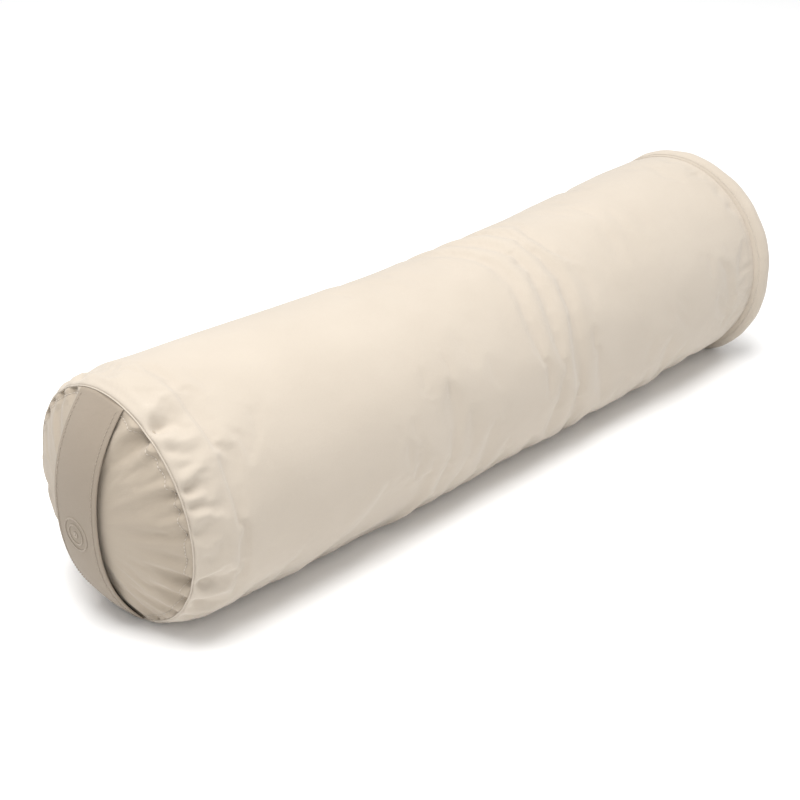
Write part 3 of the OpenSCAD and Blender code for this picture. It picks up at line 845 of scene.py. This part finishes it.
def strap_stitches(name, sign):
    """Rows of stitches along both edges of one half of the strap."""
    starts, ends = [], []
    inset = STRAP_HALF_W - 4 * MM
    for side in (-1, 1):
        y = side * inset
        top = strap_end_height(y) - 3 * MM
        for z in np.arange(STITCH_PITCH / 2, top, STITCH_PITCH):
            starts.append(on_strap(y, sign * (z - STITCH_LENGTH / 2)))
            ends.append(on_strap(y, sign * (z + STITCH_LENGTH / 2)))
    obj = stitch_mesh(name, starts, ends, facing_handle_end(len(starts)))
    # These stitches use the darkened strap thread: painted shade.
    finish_piece(obj, STRAP_THREAD_PAINTED_SHADE, "thread", None)
    return blend_strap(obj)


RINGS = ((12.2 * MM, 14.0 * MM), (7.2 * MM, 9.0 * MM), (0.4 * MM, 3.0 * MM))   # inner, outer radius
RINGS_HEIGHT = -10 * MM             # their centre, from the axis
RING_STITCH_PITCH = 0.55 * MM


def build_motif():
    """Plain embroidered rings round a dot, worked in short radial stitches."""
    starts, ends = [], []
    for inner, outer in RINGS:
        count = max(18, int(2 * math.pi * outer / RING_STITCH_PITCH))
        for a in np.linspace(0, 2 * math.pi, count, endpoint=False):
            starts.append(on_strap(inner * math.cos(a), RINGS_HEIGHT + inner * math.sin(a)))
            ends.append(on_strap(outer * math.cos(a), RINGS_HEIGHT + outer * math.sin(a)))
    obj = stitch_mesh("handle_rings", starts, ends, facing_handle_end(len(starts)))
    # The rings use the darkened strap thread: painted shade.
    return finish_piece(obj, STRAP_THREAD_PAINTED_SHADE, "thread", "handle", "handle_motif")


# ---- zip stitches and long seam ------------------------------------------------------------------

def stitch_line(name, x_low, x_high, angle, node):
    """Stitches along the bolster on the cover's surface, for one or more angles."""
    starts, ends, normals = [], [], []
    for a in angle:
        r = math.radians(a)
        out = np.array([0.0, math.cos(r), math.sin(r)])
        for low, high in zip(x_low, x_high):
            for x in np.arange(low, high, STITCH_PITCH):
                starts.append(tube_point(np.array(x), np.array(a)) + out * 0.1 * MM)
                ends.append(tube_point(np.array(x + STITCH_LENGTH), np.array(a)) + out * 0.1 * MM)
                normals.append(out)
    obj = stitch_mesh(name, starts, ends, normals)
    return finish_piece(obj, THREAD, "thread", "cover", node)


# ---- liner and fill ------------------------------------------------------------------------------

LINER_R = (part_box("liner_body")[1].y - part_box("liner_body")[0].y) / 2
LINER_SEAM_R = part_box("liner_handle_end")[1].y
LINER_FAR_SEAM_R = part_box("liner_far_end")[1].y
LINER_SEAM_X = 0.342
LINER_CROWN = -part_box("liner_handle_end")[0].x - LINER_SEAM_X
LINER_FAR_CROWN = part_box("liner_far_end")[1].x - LINER_SEAM_X
LINER_T = 0.6 * MM
LINER_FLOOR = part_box("liner_body")[0].z
LINER_ZIP_ANGLE = -58.0
LINER_ZIP_HALF_LENGTH = 0.244
BAG_INSET = 0.3 * MM                # keeps the bag's lumps inside the CAD body
HUSK_GAP = 0.8 * MM                 # between the liner and the husks


class BagEnd:
    """One end of the liner: where its seam is and how far it bulges."""

    def __init__(self, side, seam_r, crown, creases):
        self.side = side
        self.seam_r = seam_r
        self.crown = crown
        self.creases = creases

    def bulge(self, share):
        if self.side < 0:
            return self.crown * (1 - share ** CROWN_POWER)
        return self.crown * (1 - share ** FAR_POWER) ** FAR_FULLNESS

    def pull_on_body(self, s, angle):
        return sum(c.on_body(s, angle) for c in self.creases)

    def pull_on_panel(self, s, angle):
        return sum(c.on_panel(s, angle) for c in self.creases)


BAG_ENDS = {-1: BagEnd(-1, LINER_SEAM_R, LINER_CROWN, HANDLE_END_CREASES),
            1: BagEnd(1, LINER_FAR_SEAM_R, LINER_FAR_CROWN, FAR_END_CREASES)}


def near_liner_zip(angle):
    """1 on the liner zip's line, 0 well away from it."""
    return 1 - smooth((np.abs(turn_between(angle, LINER_ZIP_ANGLE)) - 10) / 24)


def bag_lumps(x, angle, height):
    """Soft lumps where the loose husks push the cloth out, never past the CAD surface."""
    a = np.radians(angle)
    wave = np.sin(70 * x + 3 * np.cos(a)) * np.cos(5 * a)
    wave = wave + 0.6 * np.sin(160 * x + 7 * a) * np.cos(9 * a + 40 * x)
    return height * (np.clip(wave / 1.6, -1, 1) - 1)


def bag_point(x, radius, angle, inset):
    """Point of the bag, settled with the cover and resting on the cover's floor."""
    a = np.radians(angle)
    held = 1 - (1 - near_liner_zip(angle)) * (1 - near_zip(angle))
    drop = SLUMP * np.clip(1 - (x / SEAM_X) ** 2, 0, 1) * (1 - held)
    z = AXIS_Z + radius * np.sin(a) - drop
    return np.stack([x + 0 * a, radius * np.cos(a), np.maximum(z, LINER_FLOOR + 0.1 * MM + inset)], -1)


def bag_end_points(end, inset, angles, shares):
    """Rings of points over one end of the bag, from its middle to its seam."""
    share, a = np.meshgrid(shares, angles, indexing="ij")
    radius = share * (end.seam_r - BAG_INSET - inset)
    pull = end.pull_on_panel((1 - share) * end.seam_r + inset, a)
    x = end.side * (LINER_SEAM_X + end.bulge(share) - BAG_INSET - inset - np.maximum(pull, 0))
    return bag_point(x, radius, a, inset)


def bag_tube_points(inset, angles, xs, lump_height, dent):
    """Rings of points along the bag's tube, between its two seams."""
    x, a = np.meshgrid(xs, angles, indexing="ij")
    for side, end in BAG_ENDS.items():
        dip = np.maximum(end.pull_on_panel(inset + BAG_INSET, a), 0)
        reach = LINER_SEAM_X - BAG_INSET - inset - dip
        x = np.where(side * x > reach, side * reach, x)
    s = LINER_SEAM_X - np.abs(x)
    seam_r = np.where(x < 0, LINER_SEAM_R, LINER_FAR_SEAM_R)
    c = np.clip(1 - s / SHOULDER, 0, 1)
    radius = seam_r + (LINER_R - seam_r) * np.sqrt(1 - c * c) - BAG_INSET - inset
    for side, end in BAG_ENDS.items():
        pull = end.pull_on_body(s, a)
        radius = radius - np.where(side * x > 0, np.maximum(pull, 0), 0)
    quiet = 1 - near_liner_zip(a)
    radius = radius + bag_lumps(x, a, lump_height) * quiet * smooth(s / SHOULDER)
    middle = middle_dip(x) * (1 - near_zip(a)) * quiet
    return bag_point(x, radius - middle - dent(x, a), a, inset)


def no_dent(x, angle):
    return 0 * x


def zip_dent(x, angle):
    """The zip's back presses a groove into the husks."""
    across = 1 - smooth((np.abs(turn_between(angle, LINER_ZIP_ANGLE)) - 10) / 3)
    return 6 * MM * across * (np.abs(x) < LINER_ZIP_HALF_LENGTH + 0.024)


def build_bag(name, inset, lump_height, dent, open_slot):
    """Closed bag inside the cover, as one mesh of rings from one end's middle to the other's."""
    columns, rows = 320, 240
    step = 360 / columns
    angles = LINER_ZIP_ANGLE + step * np.arange(columns)
    shares = np.sin(np.linspace(0.01, 1, 44) * math.pi / 2) ** 0.7
    xs = (LINER_SEAM_X - 0.3 * MM) * np.linspace(-1, 1, rows)
    near = bag_end_points(BAG_ENDS[-1], inset, angles, shares)
    tube = bag_tube_points(inset, angles, xs, lump_height, dent)
    far = bag_end_points(BAG_ENDS[1], inset, angles, shares)[::-1]
    rings = np.concatenate([near, tube, far])
    first = len(near)

    def in_slot(i, j):
        row = i - first
        if not open_slot or row < 0 or row >= rows - 1:
            return False
        beside = j < 2 * SLOT_STEPS or j >= columns - 2 * SLOT_STEPS
        return beside and abs(xs[row]) < LINER_ZIP_HALF_LENGTH

    faces = grid_faces(len(rings), columns, True, in_slot)
    faces += [tuple(range(columns)), tuple((len(rings) - 1) * columns + k for k in range(columns))]
    obj = make_mesh(name, rings.reshape(-1, 3), faces)
    fix_normals(obj)
    return obj


def build_inside():
    liner = build_bag("liner_bag", 0, 0.5 * MM, no_dent, True)
    thicken(liner, LINER_T)
    finish_piece(liner, CALICO, "calico", "cover", "liner_body", "liner_handle_end", "liner_far_end")
    husks = build_bag("husks", LINER_T + HUSK_GAP, 0.6 * MM, zip_dent, False)
    finish_piece(husks, HUSKS, "husk", "cover", "husk_fill")


# ---- carried-over nodes --------------------------------------------------------------------------

def dress_frame_nodes():
    """Gives the CAD's own pieces their materials."""
    for name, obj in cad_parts.items():
        if "teeth" in name:
            material = TEETH
        elif "tape" in name:
            material = TAPE
        elif "slider" in name or "pull" in name or "_stop" in name:
            material = METAL
        else:
            material = THREAD
        obj.data.materials.clear()
        obj.data.materials.append(material)


# ---- floor, light and camera ---------------------------------------------------------------------

CAMERA_AZIMUTH = -45.0
CAMERA_ELEVATION = 28.0
CAMERA_DISTANCE = 1.2645
CAMERA_LENS = 66.79
CAMERA_TARGET = Vector((-0.0778, -0.0296, 0.0927))


def build_camera():
    a, e = math.radians(CAMERA_AZIMUTH), math.radians(CAMERA_ELEVATION)
    back = Vector((math.sin(a) * math.cos(e), -math.cos(a) * math.cos(e), math.sin(e)))
    data = bpy.data.cameras.new("camera")
    data.lens = CAMERA_LENS
    data.sensor_width = 36
    camera = bpy.data.objects.new("camera", data)
    camera.location = CAMERA_TARGET + back * CAMERA_DISTANCE
    camera.rotation_mode = "QUATERNION"
    camera.rotation_quaternion = (-back).to_track_quat("-Z", "Y")
    bpy.context.scene.collection.objects.link(camera)
    bpy.context.scene.camera = camera


def area_light(name, place, target, size, power):
    data = bpy.data.lights.new(name, "AREA")
    data.shape = "SQUARE"
    data.size = size
    data.energy = power
    light = bpy.data.objects.new(name, data)
    light.location = place
    light.rotation_mode = "QUATERNION"
    light.rotation_quaternion = (Vector(target) - Vector(place)).to_track_quat("-Z", "Y")
    bpy.context.scene.collection.objects.link(light)


FLOOR_HALF = 12
FLOOR_GREY = 0.97
SKY_STRENGTH = 0.69
KEY_PLACE = (-0.4, -0.1, 2.1)
KEY_SIZE = 1.5
KEY_POWER = 60


def build_studio():
    """Plain pale floor, an even white sky and one broad lamp above the handle's half."""
    bpy.context.scene.view_settings.view_transform = "Standard"
    size = FLOOR_HALF
    points = [(-size, -size, 0), (size, -size, 0), (size, size, 0), (-size, size, 0)]
    floor = make_mesh("floor", points, [(0, 1, 2, 3)], False)
    mat, _, shader = new_material("floor")
    shader.inputs["Base Color"].default_value = (FLOOR_GREY, FLOOR_GREY, FLOOR_GREY, 1)
    shader.inputs["Roughness"].default_value = 0.9
    floor.data.materials.append(mat)
    world = bpy.data.worlds.new("world")
    bpy.context.scene.world = world
    world.use_nodes = True
    background = world.node_tree.nodes["Background"]
    background.inputs[0].default_value = (1, 1, 1, 1)
    background.inputs[1].default_value = SKY_STRENGTH
    area_light("key", KEY_PLACE, (0, 0, 0.1), KEY_SIZE, KEY_POWER)


# ---- assembly ------------------------------------------------------------------------------------

def build_cover():
    build_cover_tube()
    build_near_panel()
    build_far_panel()
    build_seam_ridge("handle_end_seam", -1, HANDLE_END_CREASES)
    build_seam_ridge("far_end_seam", 1, FAR_END_CREASES)
    build_near_stitches()
    build_far_stitches()
    build_overlock("handle_end_overlock_zigzag", -1, HANDLE_END_CREASES, "handle_end_overlock")
    build_overlock("far_end_overlock_zigzag", 1, FAR_END_CREASES, "far_end_overlock")
    zip_rows = [ZIP_ANGLE - ZIP_ROW_TURN, ZIP_ANGLE + ZIP_ROW_TURN]
    stitch_line("zip_stitch_rows", [-ZIP_HALF_LENGTH], [ZIP_HALF_LENGTH], zip_rows, "cover_zip_stitches")
    start, end = LONG_SEAM
    stitch_line("long_seam_stitches", [-end, start], [-start, end], [ZIP_ANGLE], "cover_long_seam_thread")


def build_handle():
    upper = build_strap_half("strap_upper", 1)
    build_strap_half("strap_lower", -1)
    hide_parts("handle_strap")
    upper_stitches = strap_stitches("strap_upper_stitches", 1)
    strap_stitches("strap_lower_stitches", -1)
    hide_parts("handle_edge_stitches")
    build_motif()


simulate_tube()
simulate_panel()
dress_frame_nodes()
build_cover()
build_handle()
build_inside()
build_studio()
build_camera()
